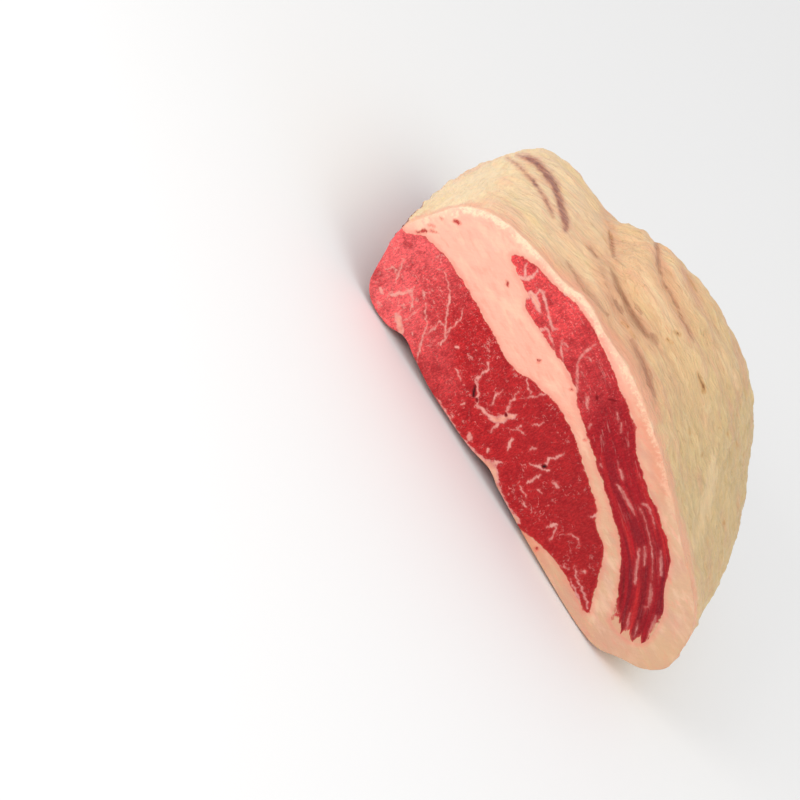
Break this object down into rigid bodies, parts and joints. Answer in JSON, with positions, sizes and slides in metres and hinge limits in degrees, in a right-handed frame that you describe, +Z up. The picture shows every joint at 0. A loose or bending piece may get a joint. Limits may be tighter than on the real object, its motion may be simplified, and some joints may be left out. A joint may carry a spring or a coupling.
{
  "type": "raw beef brisket",
  "caption": "Half of a raw beef brisket, cut across: a creamy fat cap over a flat muscle and a streaky point muscle, with a seam of fat between them.",
  "frame": {"origin": "centre of the piece's outline seen from above, on the plane that it lies on", "axes": "+X from the thick end to the narrow end, -Y out of the cut face, +Z up through the fat cap"},
  "size_m": [0.2922, 0.1894, 0.1291],
  "materials": {
    "fat": "satin, waxy",
    "flat_muscle": "moist satin",
    "point_muscle": "moist satin"
  },
  "bodies": {
    "root": {"fat": "fat", "flat_muscle": "flat_muscle", "point_muscle": "point_muscle"}
  },
  "joints": []
}
